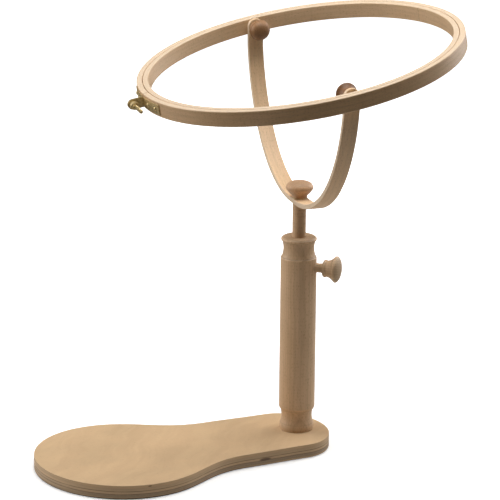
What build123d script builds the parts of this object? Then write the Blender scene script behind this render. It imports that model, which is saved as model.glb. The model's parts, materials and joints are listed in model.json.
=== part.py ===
from build123d import *
import math
import os

# A seat-frame embroidery hoop stand: plywood foot board, turned column, sliding dowel mast,
# bentwood fork and a tilting double hoop.
# Frame: origin on the floor under the column's axis, +Z up, -X towards the wide end of the board.
# All lengths are millimetres and all angles degrees.

# ---------------------------------------------------------------- driving dimensions
# foot board
BOARD_THICKNESS = 12.5
BOARD_HEEL_X = 26.5          # narrow end, behind the column
BOARD_HEEL_SHOULDER = (-10.0, 44.9)
BOARD_WAIST = (-70.5, 46.4)
BOARD_WIDEST = (-171.8, 80.1)
BOARD_TOE_X = -247.5         # wide end
BOARD_EDGE_ROUND = 1.2
QUARTER_ROUND = 0.5523       # handle length of a cubic curve that follows a quarter ellipse
WAIST_HANDLE = 0.44          # handle length of the long side curves

# column
COLUMN_RADIUS = 16.0
COLUMN_TOP = 191.6
BORE_RADIUS = 6.05
BORE_DEPTH = 150.0
# A profile is a start point (radius, height) and steps up from it. A step of one point is a line,
# of two points an arc through the first, and of three points a cubic curve.
COLUMN_FOOT = ((14.9, 12.5), ((15.4, 15.6), (14.9, 19.0)), ((13.7, 25.4), (14.6, 31.6)),
               ((15.6, 33.0), (16.0, 35.5)))
COLUMN_HEAD = ((16.0, 172.4), ((15.7, 173.3), (15.1, 173.9)), ((13.75, 180.0), (14.9, 188.2)),
               ((15.9, 189.5), (15.3, 190.9)), ((14.3, 191.6),))

# column screws, driven up through the board
SCREW_OFFSET = 7.5
SCREW_RADIUS = 2.25
SCREW_HEAD_RADIUS = 4.5
SCREW_HEAD_DEPTH = 2.6
SCREW_TOP = 38.0
SCREW_HEAD_RECESS = 0.6
SCREW_SLOT_WIDTH = 1.2
SCREW_SLOT_DEPTH = 1.0

# mast dowel
MAST_RADIUS = 6.0
MAST_BOTTOM = 76.0
MAST_GROOVES = (211.2, 214.2, 217.2)
GROOVE_DEPTH = 0.3
MAST_CHAMFER = 0.6
MAST_INSERT_RADIUS = 3.5
MAST_INSERT_LENGTH = 14.0
INSERT_SETBACK = 0.4         # threaded inserts sit this far inside the wood

# clamp that holds the mast
CLAMP_AZIMUTH = 317.0
CLAMP_HEIGHT = 164.4
CLAMP_SCREW_RADIUS = 2.95
CLAMP_INSERT_RADIUS = 4.3
CLAMP_RECESS_RADIUS = 4.9
CLAMP_RECESS_FLOOR = 15.0    # distance from the column's axis
CLAMP_PAD_LENGTH = 2.0
CLAMP_SCREW_END = 31.0
CLAMP_INSERT_START = 7.0
CLAMP_KNOB = ((4.4, 15.4), ((4.1, 19.0), (4.5, 22.6)), ((6.9, 23.2),), ((7.9, 24.6), (7.3, 26.2)),
              ((8.3, 29.6), (11.0, 33.0)), ((11.8, 34.6), (11.0, 36.0)), ((9.2, 37.9), (4.4, 39.0), (0, 39.0)))

# bentwood fork, a strip bent to three arcs each side of a short flat
STRIP_THICKNESS = 4.5
STRIP_WIDTH = 14.0
FORK_AZIMUTH = 262.5         # where the front arm points, seen from above
FORK_BOTTOM = 222.75
FORK_FLAT_HALF = 7.0
FORK_ARCS = ((113.8, 43.3), (142.6, 80.0), (30.0, 90.0))   # centre-line radius, end slope
FORK_END_RISE = 1.0          # centre of the round end above the pivot
FORK_ARM_TOP = 370.0         # raw height of the arms before their ends are rounded
STRIP_EDGE_ROUND = 0.8

# hoop
HOOP_HEIGHT = 350.7
HOOP_TILT = 10.9             # the side over the wide end of the board is low
HOOP_BAND = 13.8
INNER_RING_RADII = (134.3, 139.3)
OUTER_RING_RADII = (139.6, 144.8)
RING_EDGE_ROUND = 0.9
SPLIT_AZIMUTH = 172.0
SPLIT_GAP = 0.9

# hoop pivots
PIVOT_BOLT_RADIUS = 1.975
PIVOT_HEAD_RADIUS = 4.0
PIVOT_HEAD_DEPTH = 2.2
PIVOT_HEAD_FACE = 139.0      # distance from the hoop's centre
PIVOT_BOLT_END = 115.6
SEAT_GAP = 0.2
WASHER_THICKNESS = 0.8
WASHER_RADIUS = 5.5
SPACER_FACE = 134.0

STRIP_HOLE_RADIUS = 2.25
PIVOT_INSERT_RADIUS = 3.2
PIVOT_INSERT_LENGTH = 10.0
PIVOT_INSERT_SETBACK = 0.3
PIVOT_KNOB = ((6.6, 0), ((6.3, 2.6), (7.0, 5.4)), ((8.2, 7.4), (9.2, 8.6)), ((9.5, 9.6), (9.2, 10.6)),
              ((8.9, 10.9),), ((8.3, 14.6), (4.6, 17.4), (0, 17.4)))

# knob that holds the fork on the mast
FORK_STUD_RADIUS = 2.475
FORK_STUD_IN_KNOB = 9.0
FORK_STUD_TIP_GAP = 1.0
FORK_WASHER_RADIUS = 6.8
FORK_KNOB = ((7.0, 0), ((6.9, 1.2), (7.7, 2.4)), ((9.6, 4.3), (11.1, 6.3)), ((12.1, 8.6), (11.6, 10.6)),
             ((10.4, 13.4), (5.0, 14.6), (0, 14.6)))
STUD_HOLE_CLEARANCE = 0.2
RUNNING_CLEARANCE = 0.05

# hoop tension hardware
BRACKET_THICKNESS = 0.8
BRACKET_WIDTH = 9.0
BRACKET_ARC = 13.5
LUG_REACH = 15.0
LUG_GAP = 0.8
RIVET_ANGLES = (5.0, 10.8)
RIVET_RADIUS = 1.1
RIVET_HEAD_RADIUS = 2.0
RIVET_HEAD_HEIGHT = 1.1
RIVET_DEPTH = 3.5
TENSION_RADIUS = 1.7
TENSION_REACH = 10.3         # screw axis beyond the outer ring's face
TENSION_TAIL = 27.0
TENSION_HEAD_RADIUS = 3.4
TENSION_HEAD_LENGTH = 2.2
NUT_RADIUS = 3.5
NUT_LENGTH = 5.2
NUT_FLUTES = 16
FLUTE_RADIUS = 0.3
NUT_COLLAR_RADIUS = 2.6
NUT_COLLAR_LENGTH = 1.4
BRASS_EDGE_ROUND = 0.5
TENSION_WASHER_RADIUS = 3.1

# ---------------------------------------------------------------- derived places
STRIP_MIDDLE = FORK_BOTTOM + STRIP_THICKNESS / 2
STRIP_TOP = FORK_BOTTOM + STRIP_THICKNESS
FORK_KNOB_FOOT = STRIP_TOP + WASHER_THICKNESS
BORE_FLOOR = COLUMN_TOP - BORE_DEPTH
CLAMP = Pos(0, 0, CLAMP_HEIGHT) * Rot(0, 0, CLAMP_AZIMUTH) * Rot(0, 90, 0)
FORK = Rot(0, 0, FORK_AZIMUTH)
HOOP = Pos(0, 0, HOOP_HEIGHT) * Rot(0, -HOOP_TILT, 0)


def hoop_angle_of(azimuth):
    """Angle in the tilted hoop's own plane that is seen from above at this azimuth."""
    turn = math.radians(azimuth)
    return math.degrees(math.atan2(math.sin(turn) * math.cos(math.radians(HOOP_TILT)), math.cos(turn)))


PIVOT_ANGLE = hoop_angle_of(FORK_AZIMUTH)
PIVOT_DROP = math.sin(math.radians(HOOP_TILT)) * math.cos(math.radians(PIVOT_ANGLE))


# ---------------------------------------------------------------- helpers
def turned(*outline):
    """Solid turned about Z from a closed outline in (radius, height)."""
    return revolve(Plane.XZ * make_face(Curve() + list(outline)), Axis.Z)


def rod(radius, low, high):
    """Cylinder on the Z axis between two heights."""
    return Pos(0, 0, (low + high) / 2) * Cylinder(radius, high - low)


def profile_edges(start, steps):
    """Lines, arcs and cubic curves of a turning profile, one after the other."""
    edges = []
    here = start
    for step in steps:
        kind = {1: Line, 2: ThreePointArc, 3: Bezier}[len(step)]
        edges.append(kind(here, *step))
        here = step[-1]
    return edges


def turned_knob(profile):
    """Knob turned about Z from its foot profile up to its dome."""
    start, *steps = profile
    foot = (0, start[1])
    return turned(Line(foot, start), *profile_edges(start, steps), Line(steps[-1][-1], foot))


def polar(radius, angle):
    turn = math.radians(angle)
    return (radius * math.cos(turn), radius * math.sin(turn))


def tube(outer, inner, low, high):
    """Hollow cylinder on the Z axis."""
    return rod(outer, low, high) - rod(inner, low - 1, high + 1)


def save(node, shape):
    """Write one sub-part to its own STEP file."""
    export_step(Compound(children=list(shape.solids()), label=node), f"parts/{node}.step")


# ---------------------------------------------------------------- foot board and column
def board_side(side):
    """Edge curves of one side of the board, heel to toe; side is +1 or -1."""
    shoulder_x, shoulder_y = BOARD_HEEL_SHOULDER
    waist_x, waist_y = BOARD_WAIST
    wide_x, wide_y = BOARD_WIDEST
    heel = BOARD_HEEL_X - shoulder_x
    toe = wide_x - BOARD_TOE_X
    flank = WAIST_HANDLE * (shoulder_x - waist_x)
    bulge = WAIST_HANDLE * (waist_x - wide_x)
    return [
        Bezier((BOARD_HEEL_X, 0), (BOARD_HEEL_X, side * QUARTER_ROUND * shoulder_y),
               (shoulder_x + QUARTER_ROUND * heel, side * shoulder_y), (shoulder_x, side * shoulder_y)),
        Bezier((shoulder_x, side * shoulder_y), (shoulder_x - flank, side * shoulder_y),
               (waist_x + flank, side * waist_y), (waist_x, side * waist_y)),
        Bezier((waist_x, side * waist_y), (waist_x - bulge, side * waist_y),
               (wide_x + bulge, side * wide_y), (wide_x, side * wide_y)),
        Bezier((wide_x, side * wide_y), (wide_x - QUARTER_ROUND * toe, side * wide_y),
               (BOARD_TOE_X, side * QUARTER_ROUND * wide_y), (BOARD_TOE_X, 0)),
    ]


def screw_solid(clearance):
    """Countersunk wood screw standing on its head, point up."""
    head_low = SCREW_HEAD_RECESS
    head_high = head_low + SCREW_HEAD_DEPTH
    head = Pos(0, 0, (head_low + head_high) / 2) * Cone(
        SCREW_HEAD_RADIUS + clearance, SCREW_RADIUS + clearance, SCREW_HEAD_DEPTH)
    return head + rod(SCREW_RADIUS + clearance, head_low, SCREW_TOP)


def screw_places():
    return [Pos(0, side * SCREW_OFFSET, 0) for side in (-1, 1)]


def make_base_board():
    outline = make_face(Curve() + board_side(1) + board_side(-1))
    board = extrude(outline, BOARD_THICKNESS)
    for rim in (board.edges().group_by(Axis.Z)[-1], board.edges().group_by(Axis.Z)[0]):
        board = fillet(rim, BOARD_EDGE_ROUND)
    for place in screw_places():
        board -= place * screw_solid(0)
        board -= place * rod(SCREW_HEAD_RADIUS, -1, SCREW_HEAD_RECESS)
    return board


def make_column_screws():
    slot = Pos(0, 0, SCREW_HEAD_RECESS) * Box(SCREW_SLOT_WIDTH, 2 * SCREW_HEAD_RADIUS, 2 * SCREW_SLOT_DEPTH)
    return Compound(children=[place * (screw_solid(0) - slot) for place in screw_places()])


def make_column():
    foot_start, *foot_steps = COLUMN_FOOT
    head_start, *head_steps = COLUMN_HEAD
    column = turned(
        Line((0, BOARD_THICKNESS), foot_start),
        *profile_edges(foot_start, foot_steps),
        Line(foot_steps[-1][-1], head_start),
        *profile_edges(head_start, head_steps),
        Polyline(head_steps[-1][-1], (0, COLUMN_TOP), (0, BOARD_THICKNESS)),
    )
    column -= rod(BORE_RADIUS, BORE_FLOOR, COLUMN_TOP + 1)
    column -= CLAMP * rod(CLAMP_INSERT_RADIUS, 0, CLAMP_RECESS_FLOOR)
    column -= CLAMP * rod(CLAMP_RECESS_RADIUS, CLAMP_RECESS_FLOOR, COLUMN_RADIUS + 4)
    for place in screw_places():
        column -= place * rod(SCREW_RADIUS, 0, SCREW_TOP)
    return column


# ---------------------------------------------------------------- mast and its clamp
def make_mast():
    ring_points = []
    for height in MAST_GROOVES:
        ring_points += [(MAST_RADIUS, height - GROOVE_DEPTH), (MAST_RADIUS - GROOVE_DEPTH, height),
                        (MAST_RADIUS, height + GROOVE_DEPTH)]
    end_radius = MAST_RADIUS - MAST_CHAMFER
    mast = turned(Polyline(
        (0, MAST_BOTTOM), (end_radius, MAST_BOTTOM), (MAST_RADIUS, MAST_BOTTOM + MAST_CHAMFER),
        *ring_points,
        (MAST_RADIUS, FORK_BOTTOM - MAST_CHAMFER), (end_radius, FORK_BOTTOM), (0, FORK_BOTTOM),
        (0, MAST_BOTTOM)))
    return mast - rod(MAST_INSERT_RADIUS, FORK_BOTTOM - MAST_INSERT_LENGTH, FORK_BOTTOM + 1)


def make_mast_insert():
    low = FORK_BOTTOM - MAST_INSERT_LENGTH
    return tube(MAST_INSERT_RADIUS, FORK_STUD_RADIUS + RUNNING_CLEARANCE, low, FORK_BOTTOM - INSERT_SETBACK)


def make_clamp_insert():
    bore = CLAMP_SCREW_RADIUS + RUNNING_CLEARANCE
    return CLAMP * tube(CLAMP_INSERT_RADIUS, bore, CLAMP_INSERT_START, CLAMP_RECESS_FLOOR - INSERT_SETBACK / 2)


def make_clamp_pad():
    low = MAST_RADIUS + RUNNING_CLEARANCE
    return CLAMP * rod(CLAMP_SCREW_RADIUS, low, low + CLAMP_PAD_LENGTH)


def make_clamp_screw():
    low = MAST_RADIUS + RUNNING_CLEARANCE + CLAMP_PAD_LENGTH
    return CLAMP * rod(CLAMP_SCREW_RADIUS, low, CLAMP_SCREW_END)


def make_clamp_knob():
    return CLAMP * (turned_knob(CLAMP_KNOB) - rod(CLAMP_SCREW_RADIUS, CLAMP_RECESS_FLOOR - 1, CLAMP_SCREW_END))


# ---------------------------------------------------------------- fork
def fork_arm_edges(offset, side):
    """Edges of one face of one arm, centre flat to tip, in the fork's own (s, z) plane."""
    points_s = FORK_FLAT_HALF
    points_z = STRIP_MIDDLE
    slope = 0.0
    edges = [Line((0, points_z - offset), (side * points_s, points_z - offset))]
    for radius, end_slope in FORK_ARCS:
        centre = (points_s - radius * math.sin(slope), points_z + radius * math.cos(slope))
        stop = math.radians(end_slope)
        ends = []
        for turn in (slope, (slope + stop) / 2, stop):
            ends.append((side * (centre[0] + (radius + offset) * math.sin(turn)),
                         centre[1] - (radius + offset) * math.cos(turn)))
        edges.append(ThreePointArc(*ends))
        points_s = centre[0] + radius * math.sin(stop)
        points_z = centre[1] - radius * math.cos(stop)
        slope = stop
    edges.append(Line((side * (points_s + offset), points_z), (side * (points_s + offset), FORK_ARM_TOP)))
    return edges


def fork_reach():
    """Distance of an arm's centre line from the mast's axis at the pivots."""
    reach = FORK_FLAT_HALF
    slope = 0.0
    for radius, end_slope in FORK_ARCS:
        reach += radius * (math.sin(math.radians(end_slope)) - math.sin(slope))
        slope = math.radians(end_slope)
    return reach


ARM_REACH = fork_reach()
ARM_INSIDE = ARM_REACH - STRIP_THICKNESS / 2
ARM_OUTSIDE = ARM_REACH + STRIP_THICKNESS / 2


def pivot_frame(side):
    """Frame on the hoop's centre whose Z axis runs out along the pivot; side 1 is the front arm."""
    turn = PIVOT_ANGLE if side > 0 else PIVOT_ANGLE + 180
    return HOOP * Rot(0, 0, turn) * Rot(0, 90, 0)


def make_fork_strip():
    half = STRIP_THICKNESS / 2
    tips = [Line((side * (ARM_REACH - half), FORK_ARM_TOP), (side * (ARM_REACH + half), FORK_ARM_TOP))
            for side in (-1, 1)]
    edges = tips[:]
    for side in (-1, 1):
        edges += fork_arm_edges(half, side) + fork_arm_edges(-half, side)
    strip = extrude(Plane.XZ * make_face(Curve() + edges), STRIP_WIDTH / 2, both=True)
    for side in (-1, 1):
        tip_centre = HOOP_HEIGHT + side * ARM_REACH * PIVOT_DROP + FORK_END_RISE
        cutter = Pos(side * ARM_REACH, 0, tip_centre + 20) * Box(20, 2 * STRIP_WIDTH, 40)
        cutter -= Pos(side * ARM_REACH, 0, tip_centre) * Rot(0, 90, 0) * Cylinder(STRIP_WIDTH / 2, 30)
        strip -= cutter
    long_edges = strip.edges().filter_by(lambda edge: abs(abs(edge.center().Y) - STRIP_WIDTH / 2) < 0.01)
    strip = fillet(long_edges, STRIP_EDGE_ROUND)
    strip -= rod(FORK_STUD_RADIUS + STUD_HOLE_CLEARANCE, FORK_BOTTOM - 1, STRIP_TOP + 1)
    strip = FORK * strip
    for side in (-1, 1):
        strip -= pivot_frame(side) * rod(STRIP_HOLE_RADIUS, ARM_INSIDE - 3, ARM_OUTSIDE + 3)
    return strip


def make_fork_washer():
    return tube(FORK_WASHER_RADIUS, FORK_STUD_RADIUS + STUD_HOLE_CLEARANCE, STRIP_TOP, FORK_KNOB_FOOT)


def make_fork_stud():
    return rod(FORK_STUD_RADIUS, FORK_BOTTOM - MAST_INSERT_LENGTH + FORK_STUD_TIP_GAP,
               FORK_KNOB_FOOT + FORK_STUD_IN_KNOB)


def make_fork_knob():
    return Pos(0, 0, FORK_KNOB_FOOT) * (turned_knob(FORK_KNOB) - rod(FORK_STUD_RADIUS, -1, FORK_STUD_IN_KNOB))


# ---------------------------------------------------------------- hoop rings and pivots
def ring(radii):
    """Full ring of the hoop with eased edges, in the hoop's own frame."""
    inner, outer = radii
    section = Pos((inner + outer) / 2, 0) * RectangleRounded(outer - inner, HOOP_BAND, RING_EDGE_ROUND)
    return revolve(Plane.XZ * section, Axis.Z)


def make_inner_ring():
    band = HOOP * ring(INNER_RING_RADII)
    for side in (-1, 1):
        band -= pivot_frame(side) * pivot_bolt_shape(PIVOT_HEAD_FACE + 2)
    return band


def pivot_bolt_shape(face):
    """Countersunk bolt along Z, its head's face at this distance."""
    cone_low = PIVOT_HEAD_FACE - PIVOT_HEAD_DEPTH
    cone = Pos(0, 0, PIVOT_HEAD_FACE - PIVOT_HEAD_DEPTH / 2) * Cone(
        PIVOT_BOLT_RADIUS, PIVOT_HEAD_RADIUS, PIVOT_HEAD_DEPTH)
    shape = rod(PIVOT_BOLT_RADIUS, PIVOT_BOLT_END, cone_low) + cone
    if face > PIVOT_HEAD_FACE:
        shape += rod(PIVOT_HEAD_RADIUS, PIVOT_HEAD_FACE, face)
    return shape


def make_pivot_bolt(side):
    return pivot_frame(side) * pivot_bolt_shape(PIVOT_HEAD_FACE)


def make_pivot_spacer(side):
    return pivot_frame(side) * tube(WASHER_RADIUS, STRIP_HOLE_RADIUS, ARM_OUTSIDE + SEAT_GAP, SPACER_FACE)


PIVOT_WASHER_FACE = ARM_INSIDE - SEAT_GAP
PIVOT_KNOB_FOOT = PIVOT_WASHER_FACE - WASHER_THICKNESS


def make_pivot_washer(side):
    return pivot_frame(side) * tube(WASHER_RADIUS, STRIP_HOLE_RADIUS, PIVOT_KNOB_FOOT, PIVOT_WASHER_FACE)


def make_pivot_insert(side):
    high = PIVOT_KNOB_FOOT - PIVOT_INSERT_SETBACK
    bore = PIVOT_BOLT_RADIUS + RUNNING_CLEARANCE
    return pivot_frame(side) * tube(PIVOT_INSERT_RADIUS, bore, high - PIVOT_INSERT_LENGTH, high)


def make_pivot_knob(side):
    knob = turned_knob(PIVOT_KNOB)
    knob -= rod(PIVOT_INSERT_RADIUS, -1, PIVOT_INSERT_LENGTH + PIVOT_INSERT_SETBACK)
    return pivot_frame(side) * Pos(0, 0, PIVOT_KNOB_FOOT) * Rot(180, 0, 0) * knob


# ---------------------------------------------------------------- outer ring and its tension hardware
SPLIT = HOOP * Rot(0, 0, hoop_angle_of(SPLIT_AZIMUTH))
RING_FACE = OUTER_RING_RADII[1]
SCREW_LINE = RING_FACE + TENSION_REACH
LUG_OUTSIDE = LUG_GAP / 2 + BRACKET_THICKNESS


def rivet_places():
    """Hoop-frame places of the rivets: Z runs out from the ring's face."""
    return [Rot(0, 0, side * angle) * Rot(0, 90, 0) for side in (-1, 1) for angle in RIVET_ANGLES]


def make_outer_ring():
    band = HOOP * ring(OUTER_RING_RADII)
    band -= SPLIT * Pos(RING_FACE, 0, 0) * Box(30, SPLIT_GAP, 2 * HOOP_BAND)
    for place in rivet_places():
        band -= SPLIT * place * rod(RIVET_RADIUS, RING_FACE - RIVET_DEPTH, RING_FACE + 2)
    return band


def screw_axis_rod(radius, low, high):
    """Cylinder along the tension screw, lengths measured from the split towards the front."""
    across = Pos(0, (low + high) / 2, 0) * Rot(90, 0, 0) * Cylinder(radius, high - low)
    return SPLIT * Pos(SCREW_LINE, 0, 0) * across


def make_bracket(side):
    """Strap on the ring's face, bent out into a lug beside the split."""
    inside = RING_FACE + RUNNING_CLEARANCE
    outside = inside + BRACKET_THICKNESS
    start = math.degrees(math.asin(LUG_GAP / 2 / inside))
    strap = rod(outside, -BRACKET_WIDTH / 2, BRACKET_WIDTH / 2)
    strap -= rod(inside, -BRACKET_WIDTH, BRACKET_WIDTH)
    reach = 2 * outside
    wedge = make_face(Polyline((0, 0), polar(reach, side * start), polar(reach, side * BRACKET_ARC), (0, 0)))
    strap = strap & (Pos(0, 0, -BRACKET_WIDTH) * extrude(wedge, 2 * BRACKET_WIDTH))
    tip = inside + LUG_REACH - BRACKET_WIDTH / 2
    blade = Pos((inside + tip) / 2, 0) * Rectangle(tip - inside, BRACKET_WIDTH)
    blade += Pos(tip, 0) * Circle(BRACKET_WIDTH / 2)
    lug = extrude(Plane.XZ * blade, -BRACKET_THICKNESS)
    lug_low = LUG_GAP / 2 if side > 0 else -LUG_OUTSIDE
    bracket = SPLIT * (strap + Pos(0, lug_low, 0) * lug)
    bracket -= screw_axis_rod(TENSION_RADIUS + RUNNING_CLEARANCE, -10, 10)
    for place in rivet_places():
        bracket -= SPLIT * place * rod(RIVET_RADIUS, RING_FACE - 1, RING_FACE + 3)
    return bracket


def make_bracket_rivets():
    face = RING_FACE + RUNNING_CLEARANCE + BRACKET_THICKNESS
    dome = turned(
        Line((0, 0), (RIVET_HEAD_RADIUS, 0)),
        Bezier((RIVET_HEAD_RADIUS, 0), (0.95 * RIVET_HEAD_RADIUS, 0.64 * RIVET_HEAD_HEIGHT),
               (0.45 * RIVET_HEAD_RADIUS, RIVET_HEAD_HEIGHT), (0, RIVET_HEAD_HEIGHT)),
        Line((0, RIVET_HEAD_HEIGHT), (0, 0)),
    )
    rivet = Pos(0, 0, face) * dome + rod(RIVET_RADIUS, RING_FACE - RIVET_DEPTH, face)
    return Compound(children=[SPLIT * place * rivet for place in rivet_places()])


def make_tension_screw():
    head = screw_axis_rod(TENSION_HEAD_RADIUS, -LUG_OUTSIDE - TENSION_HEAD_LENGTH, -LUG_OUTSIDE)
    head = fillet(head.edges(), BRASS_EDGE_ROUND)
    tail = screw_axis_rod(TENSION_RADIUS, -LUG_OUTSIDE, TENSION_TAIL)
    return head + tail


def make_tension_washer():
    bore = TENSION_RADIUS + RUNNING_CLEARANCE
    low = LUG_OUTSIDE + RUNNING_CLEARANCE
    high = low + WASHER_THICKNESS
    return screw_axis_rod(TENSION_WASHER_RADIUS, low, high) - screw_axis_rod(bore, low - 1, high + 1)


def make_tension_nut():
    low = LUG_OUTSIDE + RUNNING_CLEARANCE + WASHER_THICKNESS
    high = low + NUT_LENGTH + NUT_COLLAR_LENGTH
    nut = fillet(rod(NUT_RADIUS, low, low + NUT_LENGTH).edges(), BRASS_EDGE_ROUND)
    nut += rod(NUT_COLLAR_RADIUS, low + NUT_LENGTH, high)
    flute = rod(FLUTE_RADIUS, low - 1, high)
    for turn in range(NUT_FLUTES):
        nut -= Rot(0, 0, turn * 360 / NUT_FLUTES) * Pos(NUT_RADIUS, 0, 0) * flute
    nut -= rod(TENSION_RADIUS + RUNNING_CLEARANCE, low - 1, high + 1)
    return SPLIT * Pos(SCREW_LINE, 0, 0) * Rot(-90, 0, 0) * nut


# ---------------------------------------------------------------- write every sub-part
def build():
    parts = {
        "base_board": make_base_board(),
        "column": make_column(),
        "column_screws": make_column_screws(),
        "mast": make_mast(),
        "mast_insert": make_mast_insert(),
        "clamp_insert": make_clamp_insert(),
        "clamp_pad": make_clamp_pad(),
        "clamp_screw": make_clamp_screw(),
        "clamp_knob": make_clamp_knob(),
        "fork_strip": make_fork_strip(),
        "fork_washer": make_fork_washer(),
        "fork_stud": make_fork_stud(),
        "fork_knob": make_fork_knob(),
        "inner_ring": make_inner_ring(),
        "outer_ring": make_outer_ring(),
        "bracket_rivets": make_bracket_rivets(),
        "tension_screw": make_tension_screw(),
        "tension_washer": make_tension_washer(),
        "tension_nut": make_tension_nut(),
    }
    for end, side in (("front", 1), ("back", -1)):
        parts[f"pivot_bolt_{end}"] = make_pivot_bolt(side)
        parts[f"pivot_spacer_{end}"] = make_pivot_spacer(side)
        parts[f"pivot_washer_{end}"] = make_pivot_washer(side)
        parts[f"pivot_knob_{end}"] = make_pivot_knob(side)
        parts[f"pivot_insert_{end}"] = make_pivot_insert(side)
        parts[f"bracket_{end}"] = make_bracket(side)
    return parts


os.makedirs("parts", exist_ok=True)
for name, solid in build().items():
    save(name, solid)
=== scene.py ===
import bmesh
import bpy
import json
import math
from mathutils import Matrix, Vector


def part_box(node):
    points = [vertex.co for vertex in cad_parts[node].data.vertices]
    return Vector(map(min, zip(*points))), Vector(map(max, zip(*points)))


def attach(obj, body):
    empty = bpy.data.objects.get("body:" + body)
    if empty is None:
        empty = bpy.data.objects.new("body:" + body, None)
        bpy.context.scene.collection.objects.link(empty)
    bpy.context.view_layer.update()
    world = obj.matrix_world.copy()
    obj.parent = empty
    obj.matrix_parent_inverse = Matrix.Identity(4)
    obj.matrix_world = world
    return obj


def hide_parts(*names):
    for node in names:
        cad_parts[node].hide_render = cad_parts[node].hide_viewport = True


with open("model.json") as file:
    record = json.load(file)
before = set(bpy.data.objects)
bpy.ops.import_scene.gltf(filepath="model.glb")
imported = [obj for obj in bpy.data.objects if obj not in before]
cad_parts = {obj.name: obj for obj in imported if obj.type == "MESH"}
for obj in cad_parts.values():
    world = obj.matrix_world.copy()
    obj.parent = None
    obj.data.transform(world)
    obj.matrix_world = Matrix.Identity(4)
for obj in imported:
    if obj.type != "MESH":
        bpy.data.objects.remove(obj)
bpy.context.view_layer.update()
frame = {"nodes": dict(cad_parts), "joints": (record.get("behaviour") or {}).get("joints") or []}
NODES = frame["nodes"]
JOINTS = {joint["name"]: joint for joint in frame["joints"]}

# ---------------------------------------------------------------- places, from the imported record
UP = Vector((0, 0, 1))
HOOP_CENTRE = Vector(JOINTS["hoop_tilt"]["pos_m"])
HOOP_NORMAL = Vector(JOINTS["outer_hoop_lift"]["axis"]).normalized()
PIVOT_AXIS = Vector(JOINTS["hoop_tilt"]["axis"]).normalized()
CLAMP_AXIS = Vector(JOINTS["clamp_knob_turn"]["axis"]).normalized()
CLAMP_PLACE = Vector(JOINTS["clamp_knob_turn"]["pos_m"])
SCREW_AXIS = Vector(JOINTS["tension_nut_turn"]["axis"]).normalized()
SCREW_PLACE = Vector(JOINTS["tension_nut_turn"]["pos_m"])
SPLIT_OUT = (SCREW_PLACE - HOOP_CENTRE).normalized()
BOARD_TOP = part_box("base_board")[1][2]
PLY_COUNT = 5
PLY = BOARD_TOP / PLY_COUNT
WHITE = (1, 1, 1, 1)
BOX_AXES = ((1, 0, 0), (0, 1, 0), (0, 0, 1))

# ---------------------------------------------------------------- camera
CAMERA_PLACE = (-1.2117, -2.4039, 0.9637)
CAMERA_HEADING = -25.83      # degrees from +Y, towards +X
CAMERA_PITCH = -16.26
CAMERA_ROLL = 0.56
CAMERA_LENS = 227.9          # mm on a 36 mm sensor


def make_camera():
    data = bpy.data.cameras.new("camera")
    data.lens = CAMERA_LENS
    data.sensor_width = 36.0
    data.clip_end = 50.0
    camera = bpy.data.objects.new("camera", data)
    bpy.context.scene.collection.objects.link(camera)
    heading = Matrix.Rotation(math.radians(CAMERA_HEADING), 4, "Z")
    pitch = Matrix.Rotation(math.radians(90 + CAMERA_PITCH), 4, "X")
    roll = Matrix.Rotation(math.radians(CAMERA_ROLL), 4, "Z")
    camera.matrix_world = Matrix.Translation(CAMERA_PLACE) @ heading @ pitch @ roll
    bpy.context.scene.camera = camera


# ---------------------------------------------------------------- light and floor
AHEAD = Vector((0.4357, 0.9001, 0))      # level, away from the camera
RIGHT = Vector((0.9001, -0.4357, 0))     # level, to the camera's right


def studio(right, ahead, height):
    return RIGHT * right + AHEAD * ahead + UP * height


def area_light(name, place, target, size, power, colour=(1, 1, 1)):
    data = bpy.data.lights.new(name, "AREA")
    data.shape = "RECTANGLE"
    data.size, data.size_y = size
    data.energy = power
    data.color = colour
    light = bpy.data.objects.new(name, data)
    bpy.context.scene.collection.objects.link(light)
    light.location = place
    light.rotation_euler = (target - place).to_track_quat("-Z", "Y").to_euler()
    light.visible_camera = False
    return light


# Each light's name, place (metres right, ahead and up), size in metres and power in watts.
SOFT_BOX = (1.0, 1.2)
SIDE_LIGHTS = (
    ("left", (-1.3, 0.1, 0.6), SOFT_BOX, 11),
    ("right", (1.3, 0.1, 0.6), SOFT_BOX, 2.2),
    ("left_back", (-1.0, 0.9, 0.7), SOFT_BOX, 3),
    ("right_back", (1.0, 0.9, 0.7), SOFT_BOX, 13.5),
)
AIM_HEIGHT = 0.2
OVERHEAD = ((0, 0, 1.0), (0.7, 0.7), 6.7)
TABLE_BOUNCE = ((0, 0, 0.0003), (1.0, 1.0), 1.9)     # light thrown up by the paper
BOUNCE_COLOUR = (1.0, 0.95, 0.88)
WORLD_STRENGTH = 0.03


def make_lights():
    place, size, power = OVERHEAD
    area_light("overhead", studio(*place), studio(0, 0, 0), size, power)
    for name, place, size, power in SIDE_LIGHTS:
        area_light(name, studio(*place), studio(0, 0, AIM_HEIGHT), size, power)
    place, size, power = TABLE_BOUNCE
    area_light("table_bounce", studio(*place), studio(0, 0, 1), size, power, BOUNCE_COLOUR)


def make_world():
    world = bpy.data.worlds.new("studio")
    world.use_nodes = True
    background = world.node_tree.nodes["Background"]
    background.inputs["Color"].default_value = WHITE
    background.inputs["Strength"].default_value = WORLD_STRENGTH
    bpy.context.scene.world = world


FLOOR_GAP = 0.0002           # keeps the paper just clear of the board's underside
PAPER_RADII = (0.5, 2.0, 5.0, 7.0)
COVE_RADIUS = 1.0
WALL_TOP = 7.0
PAPER_SPOKES = 64
PAPER_COLOUR = (0.93, 0.93, 0.93, 1)
GLOW_REACH = (0.15, 1.1)     # metres from the stand over which the paper's glow rises
GLOW_STRENGTH = (0.35, 1.1)


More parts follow.
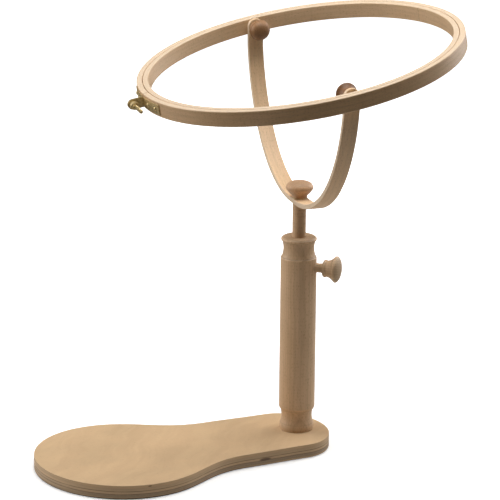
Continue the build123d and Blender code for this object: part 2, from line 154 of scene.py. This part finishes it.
def sweep_profile():
    """Radius and height of the paper, from the stand out: flat, then a cove, then a wall."""
    flat = PAPER_RADII[-1]
    angles = [math.radians(angle) for angle in range(15, 91, 15)]
    cove = [(flat + COVE_RADIUS * math.sin(angle), COVE_RADIUS * (1 - math.cos(angle))) for angle in angles]
    return [(radius, 0.0) for radius in PAPER_RADII] + cove + [(flat + COVE_RADIUS, WALL_TOP)]


def sweep_mesh():
    profile = sweep_profile()
    turns = [2 * math.pi * step / PAPER_SPOKES for step in range(PAPER_SPOKES)]
    points = [(r * math.cos(a), r * math.sin(a), z - FLOOR_GAP) for r, z in profile for a in turns]
    points.append((0.0, 0.0, -FLOOR_GAP))
    middle = len(points) - 1
    faces = [(middle, step, (step + 1) % PAPER_SPOKES) for step in range(PAPER_SPOKES)]
    for row in range(len(profile) - 1):
        low = row * PAPER_SPOKES
        high = low + PAPER_SPOKES
        for step in range(PAPER_SPOKES):
            beside = (step + 1) % PAPER_SPOKES
            faces.append((low + step, high + step, high + beside, low + beside))
    mesh = bpy.data.meshes.new("floor")
    mesh.from_pydata(points, [], faces)
    for face in mesh.polygons:
        face.use_smooth = True
    return mesh


def make_floor():
    """A round paper sweep that glows brighter away from the stand, so that it reads as one pale sheet."""
    floor = bpy.data.objects.new("floor", sweep_mesh())
    bpy.context.scene.collection.objects.link(floor)
    paper = Net("floor_paper")
    reach = paper.add("ShaderNodeVectorMath", {0: paper.place()}, operation="LENGTH").outputs["Value"]
    paper.finish(PAPER_COLOUR, 0.95)
    paper.set("Emission Color", WHITE)
    paper.set("Emission Strength", paper.step(reach, *GLOW_REACH, *GLOW_STRENGTH))
    floor.data.materials.append(paper.material)
    floor.visible_diffuse = False
    floor.visible_glossy = False


# ---------------------------------------------------------------- material building
class Net:
    """One material's nodes; every method returns an output socket to feed the next."""

    def __init__(self, name):
        self.material = bpy.data.materials.new(name)
        self.material.use_nodes = True
        self.tree = self.material.node_tree
        self.shader = self.tree.nodes["Principled BSDF"]

    def put(self, value, socket):
        if isinstance(value, bpy.types.NodeSocket):
            self.tree.links.new(value, socket)
        else:
            socket.default_value = value

    def set(self, name, value):
        self.put(value, self.shader.inputs[name])

    def add(self, kind, inputs, **settings):
        made = self.tree.nodes.new(kind)
        for key, value in settings.items():
            setattr(made, key, value)
        for key, value in inputs.items():
            self.put(value, made.inputs[key])
        return made

    def math(self, operation, a, b=0.0):
        return self.add("ShaderNodeMath", {0: a, 1: b}, operation=operation).outputs[0]

    def product(self, a, b):
        return self.math("MULTIPLY", a, b)

    def total(self, a, b):
        return self.math("ADD", a, b)

    def dot(self, a, axis):
        return self.add("ShaderNodeVectorMath", {0: a, 1: axis}, operation="DOT_PRODUCT").outputs["Value"]

    def place(self):
        return self.add("ShaderNodeTexCoord", {}).outputs["Object"]

    def facing(self, axis):
        """How far the surface faces along an axis, 0 to 1, either way."""
        normal = self.add("ShaderNodeTexCoord", {}).outputs["Normal"]
        return self.math("ABSOLUTE", self.dot(normal, axis))

    def local(self, origin, axes):
        """Distances of a surface point from an origin along three axes, in metres."""
        apart = self.add("ShaderNodeVectorMath", {0: self.place(), 1: origin}, operation="SUBTRACT")
        return [self.dot(apart.outputs["Vector"], axis) for axis in axes]

    def vector(self, x, y, z):
        return self.add("ShaderNodeCombineXYZ", {0: x, 1: y, 2: z}).outputs[0]

    def stretched(self, grain, along, across, through=None):
        """Grain coordinates scaled to cycles per metre."""
        through = across if through is None else through
        return self.vector(*[self.product(part, rate) for part, rate in zip(grain, (along, across, through))])

    def noise(self, vector, detail=2.0, roughness=0.5, distortion=0.0):
        return self.add("ShaderNodeTexNoise", {"Vector": vector, "Scale": 1.0, "Detail": detail,
                                               "Roughness": roughness, "Distortion": distortion}).outputs[0]

    def cells(self, vector):
        """Distance to the nearest cell point, and that cell's random number."""
        made = self.add("ShaderNodeTexVoronoi", {"Vector": vector, "Scale": 1.0})
        shade = self.add("ShaderNodeSeparateColor", {0: made.outputs["Color"]})
        return made.outputs["Distance"], shade.outputs[0]

    def step(self, value, low, high, bottom=0.0, top=1.0):
        """Smooth step of a value from bottom at low to top at high."""
        made = self.add("ShaderNodeMapRange", {"Value": value, "From Min": low, "From Max": high,
                                               "To Min": bottom, "To Max": top},
                        interpolation_type="SMOOTHSTEP")
        return made.outputs["Result"]

    def band(self, value, centre, half):
        """1 on a line of a value, falling to 0 at half its width either side."""
        return self.step(self.math("ABSOLUTE", self.total(value, -centre)), half * 0.3, half, 1.0, 0.0)

    def mix(self, amount, a, b, blend="MIX"):
        made = self.add("ShaderNodeMix", {"Factor": amount}, data_type="RGBA", blend_type=blend)
        self.put(a, made.inputs[6])
        self.put(b, made.inputs[7])
        return made.outputs[2]

    def scaled(self, colour, factor):
        """A colour made lighter or darker by a number."""
        grey = self.add("ShaderNodeCombineColor", {0: factor, 1: factor, 2: factor}).outputs[0]
        return self.mix(1.0, colour, grey, "MULTIPLY")

    def bump(self, height, distance, strength=1.0):
        made = self.add("ShaderNodeBump", {"Height": height, "Distance": distance, "Strength": strength})
        return made.outputs[0]

    def finish(self, colour, roughness, normal=None):
        self.set("Base Color", colour)
        self.set("Roughness", roughness)
        if normal is not None:
            self.set("Normal", normal)


# ---------------------------------------------------------------- wood
BEECH_LIGHT = (0.69, 0.475, 0.285, 1)
BEECH_MID = (0.61, 0.41, 0.235, 1)
BEECH_DARK = (0.43, 0.285, 0.165, 1)
FLECK = (0.30, 0.185, 0.10, 1)
COLUMN_STAIN = (1.0, 0.98, 0.97, 1)
MAST_STAIN = (1.0, 0.955, 0.93, 1)
FORK_KNOB_STAIN = (0.97, 0.86, 0.80, 1)
# Stain for each pivot knob; the front knob's much darker colour is partly stain and partly painted shade for
# its side turned from the light.
PIVOT_KNOB_STAIN_AND_SHADE = {"front": (0.34, 0.21, 0.10, 1), "back": (0.50, 0.36, 0.23, 1)}
RING_SPACING = 0.0023
PITH = (0.047, 0.031)        # how far outside the piece the tree's heart was
BAND_RINGS = 0.16            # growth rings show less on a bent strip than on turned stock
# Pattern rates in cycles per metre, along the grain and across it.
BLOTCH_RATES = (14.0, 45.0)
STREAK_RATES = (22.0, 700.0)
FIBRE_RATES = (120.0, 4200.0)
PORE_RATES = (900.0, 3000.0)
FLECK_RATES = (330.0, 520.0, 2100.0)
SWAY_RATES = (9.0, 30.0)
RING_SWAY = 0.006


def growth_rings(net, grain, seed):
    """Faint annual rings round a pith outside the piece, 0 in early wood to 1 in late wood."""
    along, one, two = grain
    wander, drift = SWAY_RATES
    across = net.total(net.product(two, drift), seed)
    sway = net.noise(net.vector(net.product(along, wander), net.product(one, drift), across), 2.0)
    one = net.total(one, PITH[0])
    two = net.total(two, PITH[1])
    radius = net.math("SQRT", net.total(net.product(one, one), net.product(two, two)))
    radius = net.total(radius, net.product(sway, RING_SWAY))
    phase = net.math("FRACT", net.math("DIVIDE", radius, RING_SPACING))
    return net.product(net.step(phase, 0.25, 0.85), net.step(phase, 0.9, 1.0, 1.0, 0.0))


def ray_flecks(net, grain, seed):
    """Short dark ray flecks: dashes on flat-sawn faces, small patches on quartered ones."""
    along, one, two = grain
    length, width, depth = FLECK_RATES
    start = net.total(net.product(along, length), seed)
    spot = net.vector(start, net.product(one, width), net.product(two, depth))
    distance, chance = net.cells(spot)
    shape = net.step(distance, 0.20, 0.42, 1.0, 0.0)
    return net.product(shape, net.step(chance, 0.35, 0.6))


def beech(net, grain, seed, end_grain=None, stain=WHITE, tone=1.0, ring_strength=0.3):
    """Colour, roughness and height of waxed beech for grain coordinates in metres."""
    blotch = net.noise(net.stretched(grain, *BLOTCH_RATES), 3.0)
    rings = growth_rings(net, grain, seed)
    streak = net.noise(net.stretched(grain, *STREAK_RATES), 3.0, 0.6)
    fibre = net.noise(net.stretched(grain, *FIBRE_RATES), 2.0, 0.6)
    flecks = ray_flecks(net, grain, seed)
    colour = net.mix(net.step(blotch, 0.25, 0.75), BEECH_LIGHT, BEECH_MID)
    colour = net.mix(net.product(rings, ring_strength), colour, BEECH_DARK)
    colour = net.mix(net.step(streak, 0.46, 0.8, 0.0, 0.38), colour, BEECH_DARK)
    colour = net.mix(net.step(fibre, 0.5, 0.85, 0.0, 0.22), colour, BEECH_DARK)
    colour = net.mix(net.product(flecks, 0.5), colour, FLECK)
    if stain != WHITE:
        colour = net.mix(1.0, colour, stain, "MULTIPLY")
    roughness = net.total(net.product(streak, 0.22), 0.36)
    height = net.total(net.product(fibre, 0.5), net.product(flecks, -0.6))
    if end_grain is not None:
        pores = net.noise(net.stretched(grain, *PORE_RATES), 2.0, 0.7)
        soaked = net.scaled(colour, net.step(pores, 0.35, 0.7, 0.80, 0.60))
        colour = net.mix(end_grain, colour, soaked)
        roughness = net.total(roughness, net.product(end_grain, 0.12))
    if tone != 1.0:
        colour = net.scaled(colour, tone)
    return colour, roughness, height


TOOL_PITCH = 0.0011


def wax(net):
    """A thin hand-rubbed wax film."""
    net.set("Coat Weight", 0.10)
    net.set("Coat Roughness", 0.32)
    net.set("Specular IOR Level", 0.38)


def turned_wood(name, origin, axis, seed, stain=WHITE, tone=1.0, lines=(), pitch=TOOL_PITCH, marks=0.0):
    """Beech turned on a lathe about an axis. Lines are (distance along it, half width, strength) of dark
    lines painted as shade in creases and under lips, and marks the strength of the dark rings that the tool
    leaves at its pitch."""
    net = Net(name)
    axis = Vector(axis).normalized()
    side = axis.orthogonal().normalized()
    grain = net.local(Vector(origin), (axis, side, axis.cross(side)))
    facing = net.facing(axis)
    end_grain = net.step(facing, 0.45, 0.95)
    colour, roughness, height = beech(net, grain, seed, end_grain, stain, tone)
    # Painted shade: a dark line at each listed height.
    for place, half, strength in lines:
        colour = net.mix(net.product(net.band(grain[0], place, half), strength), colour, FLECK)
    chatter = net.math("SINE", net.product(grain[0], 2 * math.pi / pitch))
    if marks:
        colour = net.mix(net.step(chatter, 0.6, 1.0, 0.0, marks), colour, BEECH_DARK)
    height = net.total(height, net.product(chatter, 0.35))
    net.finish(colour, roughness, net.bump(height, 0.00006, 0.7))
    wax(net)
    return net.material


BAND_HALF_WIDTH = 0.0069
SAWN_EDGE_AND_HIGHLIGHT = (0.78, 0.67, 0.53, 1)
SEAM_SLANT = 6.0             # radians of glue line per metre of strip thickness
SEAM_HALF = 0.0022
OUTER_FACE = (0.0015, 0.0025)


def bent_band(name, origin, axes, radius, seed, tone=1.0, half_width=BAND_HALF_WIDTH, seam=None,
              outer_shade_tint=None):
    """Beech strip with its grain along a bend of this radius, in the plane of the first two axes. The sawn
    edges, which face along the third, are painted lighter than the faces: partly the edges' own tone, partly
    a painted highlight for the brightly lit top edge. Seam is the angle of a scarf joint."""
    net = Net(name)
    one, two, across = net.local(Vector(origin), axes)
    angle = net.math("ARCTAN2", two, one)
    reach = net.math("SQRT", net.total(net.product(one, one), net.product(two, two)))
    grain = (net.product(angle, radius), net.total(reach, -radius), across)
    colour, roughness, height = beech(net, grain, seed, None, WHITE, tone, BAND_RINGS)
    # Painted shade: the outer face is multiplied by a warmer, darker tint, the colour of the wood in shade.
    if outer_shade_tint is not None:
        colour = net.mix(net.step(grain[1], *OUTER_FACE), colour, outer_shade_tint, "MULTIPLY")
    # Partly the sawn edges' own tone, partly a painted highlight: edges facing along the third axis are mixed
    # towards a lighter colour.
    edge = net.step(net.facing(axes[2]), 0.5, 0.9)
    colour = net.mix(net.product(edge, 0.5), colour, SAWN_EDGE_AND_HIGHLIGHT)
    arris = net.band(net.math("ABSOLUTE", across), half_width - 0.0006, 0.0009)
    rubbed = net.product(arris, net.step(net.noise(net.stretched(grain, 60.0, 200.0), 2.0), 0.35, 0.65))
    colour = net.mix(net.product(rubbed, 0.35), colour, BEECH_LIGHT)
    if seam is not None:
        slant = net.total(angle, net.product(grain[1], SEAM_SLANT))
        glue = net.band(slant, seam, SEAM_HALF)
        colour = net.mix(net.product(glue, 0.75), colour, FLECK)
    net.finish(colour, roughness, net.bump(height, 0.00005, 0.7))
    wax(net)
    return net.material


# ---------------------------------------------------------------- plywood board
BIRCH_PALE = (0.705, 0.492, 0.284, 1)
BIRCH_TAN = (0.60, 0.40, 0.225, 1)
BIRCH_END = (0.40, 0.29, 0.185, 1)
GLUE = (0.13, 0.08, 0.045, 1)
EDGE_TAN = (0.47, 0.33, 0.20, 1)
EDGE_END_DARK = (0.30, 0.21, 0.13, 1)
KNOT_BROWN = (0.09, 0.05, 0.028, 1)
FIGURE_ACROSS = (0.74, -0.67)            # the flame figure's direction, level
FIGURE_RATE = 95.0
CROSS_PLIES = (1.5, 3.5)                 # middles of the plies laid crosswise, in plies from below
GLUE_LINES = ((1, 0.35), (2, 0.75), (3, 0.8), (4, 0.12))     # plies from below, and strength
# Each knot's centre and its half sizes, in metres.
KNOTS = (((-0.0532, -0.0461, 0.0056), (0.0058, 0.006, 0.0013)),
         ((-0.1793, -0.0797, 0.0112), (0.0018, 0.004, 0.0005)))


def veneer_face(net, place):
    """Rotary-cut birch: pale, with wide drifting flame figure and fine pores along the board."""
    x, y, _ = place
    drift = net.noise(net.vector(net.product(x, 9.0), net.product(y, 9.0), 0.0), 3.0, 0.5)
    slant = net.total(net.product(x, FIGURE_ACROSS[0]), net.product(y, FIGURE_ACROSS[1]))
    wave = net.total(net.product(slant, FIGURE_RATE), net.product(drift, 7.0))
    flame = net.noise(net.vector(wave, net.product(net.total(x, y), 8.0), 3.7), 3.0, 0.55)
    figure = net.step(flame, 0.32, 0.68)
    pores = net.noise(net.vector(net.product(x, 160.0), net.product(y, 2600.0), 1.3), 2.0, 0.6)
    speck, chance = net.cells(net.vector(net.product(x, 210.0), net.product(y, 900.0), 8.1))
    speck = net.product(net.step(speck, 0.10, 0.26, 1.0, 0.0), net.step(chance, 0.62, 0.8))
    colour = net.mix(net.product(figure, 0.45), BIRCH_PALE, BIRCH_TAN)
    cloud = net.noise(net.vector(net.product(x, 16.0), net.product(y, 22.0), 5.2), 2.0)
    colour = net.scaled(colour, net.step(cloud, 0.25, 0.75, 1.07, 0.93))
    colour = net.mix(net.step(pores, 0.5, 0.85, 0.0, 0.3), colour, BEECH_DARK)
    colour = net.mix(net.product(speck, 0.35), colour, FLECK)
    height = net.total(net.product(pores, 0.6), net.product(speck, -0.4))
    return colour, figure, height


def veneer_edge(net, place):
    """Five plies seen on the sawn edge: end grain and side grain by turns, with dark glue lines."""
    x, y, z = place
    waver = net.noise(net.vector(net.product(x, 22.0), net.product(y, 22.0), 2.0), 2.0)
    level = net.math("DIVIDE", net.total(z, net.product(waver, 0.0005)), PLY)
    crosses = [net.step(net.math("ABSOLUTE", net.total(level, -middle)), 0.45, 0.5, 1.0, 0.0)
               for middle in CROSS_PLIES]
    side_on = net.facing((0, 1, 0))
    end_here = net.mix(net.total(*crosses), net.math("SUBTRACT", 1.0, side_on), side_on)
    along = net.noise(net.stretched(place, 60.0, 60.0, 3200.0), 3.0, 0.6)
    ends = net.noise(net.stretched(place, 1500.0, 1500.0), 3.0, 0.7)
    colour = net.mix(net.step(along, 0.3, 0.75), BIRCH_TAN, EDGE_TAN)
    end_colour = net.mix(net.step(ends, 0.35, 0.7), BIRCH_END, EDGE_END_DARK)
    deep = net.step(level, 2.0, 3.0, 1.0, 0.3)
    colour = net.mix(net.product(net.step(end_here, 0.2, 0.8, 0.12, 0.9), deep), colour, end_colour)
    # Painted shade near the floor: the two lowest plies are darkened to 0.84 of their colour.
    colour = net.scaled(colour, net.step(level, 1.9, 2.1, 0.84, 1.0))
    glue = 0.0
    for line, strength in GLUE_LINES:
        glue = net.math("MAXIMUM", glue, net.product(net.band(level, line, 0.16), strength))
    gaps = net.noise(net.vector(net.product(x, 90.0), net.product(y, 90.0), 9.0), 2.0)
    broken = net.step(gaps, 0.25, 0.5, 0.55, 1.0)
    colour = net.mix(net.product(glue, broken), colour, GLUE)
    height = net.total(net.product(ends, 0.6), net.product(glue, -0.8))
    return colour, height


def make_plywood():
    net = Net("birch_plywood")
    place = net.local(Vector((0, 0, 0)), BOX_AXES)
    face, figure, face_height = veneer_face(net, place)
    edge, edge_height = veneer_edge(net, place)
    flat = net.step(net.facing((0, 0, 1)), 0.35, 0.75)
    colour = net.mix(flat, edge, face)
    arris = net.band(net.facing((0, 0, 1)), 0.6, 0.35)
    colour = net.mix(net.product(arris, 0.35), colour, BIRCH_END)
    for centre, size in KNOTS:
        apart = net.local(Vector(centre), BOX_AXES)
        parts = [net.math("POWER", net.math("DIVIDE", part, half), 2.0) for part, half in zip(apart, size)]
        reach = net.total(net.total(parts[0], parts[1]), parts[2])
        colour = net.mix(net.step(reach, 0.3, 1.5, 0.8, 0.0), colour, KNOT_BROWN)
    height = net.mix(flat, edge_height, face_height)
    roughness = net.total(net.product(figure, 0.10), net.step(flat, 0.0, 1.0, 0.62, 0.40))
    net.finish(colour, roughness, net.bump(height, 0.00006, 0.7))
    wax(net)
    return net.material


# ---------------------------------------------------------------- metal
BRASS_GOLD = (0.74, 0.58, 0.30, 1)
BRASS_BROWN = (0.46, 0.33, 0.15, 1)
BRASS_RUBBED_HIGHLIGHT = (0.75, 0.62, 0.34, 1)
STEEL_BRIGHT = (0.60, 0.60, 0.60, 1)
STEEL_DULL = (0.42, 0.42, 0.41, 1)
STUD_PITCH = 0.0008
CLAMP_PITCH = 0.001
BOLT_PITCH = 0.0007


def thread_relief(net, origin, axis, pitch):
    """Height of a screw thread of this pitch, 0 to 1."""
    side = axis.orthogonal().normalized()
    along, one, two = net.local(Vector(origin), (axis, side, axis.cross(side)))
    turn = net.product(net.math("ARCTAN2", two, one), 1 / (2 * math.pi))
    phase = net.math("FRACT", net.total(net.math("DIVIDE", along, pitch), turn))
    return net.math("ABSOLUTE", net.total(net.product(phase, 2.0), -1.0))


def make_brass():
    """Old lacquered brass: olive gold, browned in patches, with fine rubbing whose lighter flecks are partly
    a painted highlight.
    """
    net = Net("aged_brass")
    place = net.local(Vector((0, 0, 0)), BOX_AXES)
    patches = net.noise(net.stretched(place, 420.0, 420.0), 4.0, 0.6)
    fine = net.noise(net.stretched(place, 3000.0, 3000.0, 900.0), 3.0, 0.6)
    colour = net.mix(net.step(patches, 0.35, 0.7), BRASS_GOLD, BRASS_BROWN)
    # Light flecks: partly rubbing wear, partly painted highlight.
    colour = net.mix(net.step(fine, 0.5, 0.8, 0.0, 0.35), colour, BRASS_RUBBED_HIGHLIGHT)
    roughness = net.total(net.step(patches, 0.35, 0.7, 0.30, 0.52), net.product(fine, 0.08))
    net.finish(colour, roughness, net.bump(fine, 0.00003, 0.5))
    net.set("Metallic", 0.7)
    return net.material


def make_steel(name, origin=None, axis=None, pitch=STUD_PITCH):
    """Zinc-plated steel, with a screw thread in relief when it has an axis."""
    net = Net(name)
    place = net.local(Vector((0, 0, 0)), BOX_AXES)
    spangle = net.noise(net.stretched(place, 700.0, 700.0), 3.0, 0.6)
    colour = net.mix(net.step(spangle, 0.3, 0.7), STEEL_BRIGHT, STEEL_DULL)
    roughness = net.step(spangle, 0.3, 0.7, 0.26, 0.42)
    height = net.product(spangle, 0.2)
    if axis is not None:
        height = thread_relief(net, origin, axis, pitch)
        net.finish(colour, roughness, net.bump(height, pitch * 0.4, 1.0))
    else:
        net.finish(colour, roughness, net.bump(height, 0.00003, 0.5))
    net.set("Metallic", 1.0)
    return net.material


# ---------------------------------------------------------------- tension screw with its thread
THREAD_PITCH = 0.0006
THREAD_DEPTH = 0.00035
THREAD_ROWS = 6              # rows of points to one pitch
SCREW_SIDES = 24


def screw_sizes():
    """Low end, head's end, high end, head radius and shank radius of the CAD screw, along its axis."""
    source = NODES["tension_screw"]
    places = [source.matrix_world @ point.co - SCREW_PLACE for point in source.data.vertices]
    alongs = [place.dot(SCREW_AXIS) for place in places]
    reaches = [(place - SCREW_AXIS * along).length for place, along in zip(places, alongs)]
    low, high = min(alongs), max(alongs)
    head = max(reaches)
    shank = max(reach for reach, along in zip(reaches, alongs) if along > high - 0.001)
    head_end = max(along for reach, along in zip(reaches, alongs) if reach > (head + shank) / 2)
    return low, head_end, high, head, shank


def screw_rows():
    """Each row is a distance along the axis and the radius at every side round it."""
    low, head_end, high, head, shank = screw_sizes()
    rounding = (head_end - low) * 0.2
    plain = [(low, head - rounding), (low + rounding, head), (head_end - rounding, head),
             (head_end, head - rounding), (head_end, shank)]
    rows = [(along, [radius] * SCREW_SIDES) for along, radius in plain]
    tip = high - shank * 0.4
    count = int((tip - head_end) / THREAD_PITCH * THREAD_ROWS)
    for row in range(1, count + 1):
        along = head_end + (tip - head_end) * row / count
        phases = [(along / THREAD_PITCH + side / SCREW_SIDES) % 1.0 for side in range(SCREW_SIDES)]
        rows.append((along, [shank - THREAD_DEPTH * abs(2 * phase - 1) for phase in phases]))
    rows.append((high, [shank * 0.6] * SCREW_SIDES))
    return rows


def make_threaded_screw(material):
    side = SCREW_AXIS.orthogonal().normalized()
    across = SCREW_AXIS.cross(side)
    turns = [2 * math.pi * step / SCREW_SIDES for step in range(SCREW_SIDES)]
    spokes = [side * math.cos(turn) + across * math.sin(turn) for turn in turns]
    rows = screw_rows()
    points = [SCREW_PLACE + SCREW_AXIS * along + spoke * radius
              for along, radii in rows for spoke, radius in zip(spokes, radii)]
    faces = [tuple(range(SCREW_SIDES)), tuple(range(len(points) - SCREW_SIDES, len(points)))]
    for row in range(len(rows) - 1):
        start = row * SCREW_SIDES
        for step in range(SCREW_SIDES):
            beside = start + (step + 1) % SCREW_SIDES
            faces.append((start + step, beside, beside + SCREW_SIDES, start + step + SCREW_SIDES))
    mesh = bpy.data.meshes.new("threaded_screw")
    mesh.from_pydata(points, [], faces)
    shape = bmesh.new()
    shape.from_mesh(mesh)
    bmesh.ops.recalc_face_normals(shape, faces=shape.faces)
    shape.to_mesh(mesh)
    shape.free()
    mesh.materials.append(material)
    screw = bpy.data.objects.new("threaded_screw", mesh)
    bpy.context.scene.collection.objects.link(screw)
    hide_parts("tension_screw")
    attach(screw, "outer_hoop")


# ---------------------------------------------------------------- putting materials on
def cover(node, material):
    piece = NODES[node]
    piece.data.materials.clear()
    piece.data.materials.append(material)
    for slot in piece.material_slots:
        slot.material = material


FORK_KNOB_PLACE = Vector(JOINTS["fork_knob_turn"]["pos_m"])
MAST_HEART = (0.004, 0.003, 0)
GROOVE_PITCH = 0.004
FORK_HALF_WIDTH = 0.007
OUTER_RADIUS, INNER_RADIUS, FORK_RADIUS = 0.142, 0.137, 0.12
SEAM_ANGLE = 1.75
# Painted shade colour multiplied into the outer ring's outer face.
OUTER_FACE_SHADE_TINT = (1.0, 0.95, 0.88, 1)
# The column's steps: height, half width and strength of the dark line painted at each, painted shade under
# the rim and in the steps.
COLUMN_SHADE_LINES = ((0.0190, 0.0006, 0.25), (0.0316, 0.0005, 0.2), (0.1737, 0.0008, 0.4), (0.1882, 0.0006, 0.35))


def dress_stand():
    cover("base_board", make_plywood())
    cover("column", turned_wood("column_beech", (0, 0, 0), UP, 3.1, COLUMN_STAIN, 1.0, COLUMN_SHADE_LINES))
    cover("mast", turned_wood("mast_beech", MAST_HEART, UP, 17.3, MAST_STAIN, 0.98, (), GROOVE_PITCH, 0.22))


def dress_knobs():
    cover("fork_knob", turned_wood("fork_knob_beech", FORK_KNOB_PLACE, UP, 29.0, FORK_KNOB_STAIN))
    cover("clamp_knob", turned_wood("clamp_knob_beech", CLAMP_PLACE, CLAMP_AXIS, 41.0))
    for end, sign in (("front", 1), ("back", -1)):
        place = Vector(JOINTS[end + "_knob_turn"]["pos_m"])
        cover("pivot_knob_" + end, turned_wood(end + "_knob_beech", place, PIVOT_AXIS * sign, 53.0 + sign,
                                               PIVOT_KNOB_STAIN_AND_SHADE[end]))


def dress_hoops():
    level = UP.cross(HOOP_NORMAL).normalized()
    forward = HOOP_NORMAL.cross(level).normalized()
    split_side = HOOP_NORMAL.cross(SPLIT_OUT).normalized()
    cover("outer_ring", bent_band("outer_ring_beech", HOOP_CENTRE, (-SPLIT_OUT, -split_side, HOOP_NORMAL),
                                  OUTER_RADIUS, 61.0, outer_shade_tint=OUTER_FACE_SHADE_TINT))
    cover("inner_ring", bent_band("inner_ring_beech", HOOP_CENTRE, (level, forward, HOOP_NORMAL),
                                  INNER_RADIUS, 73.0, seam=SEAM_ANGLE))
    out = Vector((PIVOT_AXIS.x, PIVOT_AXIS.y, 0)).normalized()
    cover("fork_strip", bent_band("fork_beech", (0, 0, HOOP_CENTRE.z), (-UP, out, out.cross(UP)),
                                  FORK_RADIUS, 87.0, 1.15, FORK_HALF_WIDTH))


def dress_metal():
    brass = make_brass()
    for node in ("bracket_front", "bracket_back", "bracket_rivets", "tension_washer", "tension_nut",
                 "fork_washer", "pivot_washer_front", "pivot_washer_back", "pivot_spacer_front",
                 "pivot_spacer_back", "mast_insert", "clamp_insert", "pivot_insert_front",
                 "pivot_insert_back", "clamp_pad"):
        cover(node, brass)
    make_threaded_screw(brass)
    cover("column_screws", make_steel("screw_steel"))
    cover("fork_stud", make_steel("stud_steel", (0, 0, 0), UP))
    cover("clamp_screw", make_steel("clamp_screw_steel", CLAMP_PLACE, CLAMP_AXIS, CLAMP_PITCH))
    for end in ("front", "back"):
        cover("pivot_bolt_" + end, make_steel(end + "_bolt_steel", HOOP_CENTRE, PIVOT_AXIS, BOLT_PITCH))


bpy.context.scene.view_settings.view_transform = "Standard"
make_camera()
make_lights()
make_world()
make_floor()
dress_stand()
dress_knobs()
dress_hoops()
dress_metal()
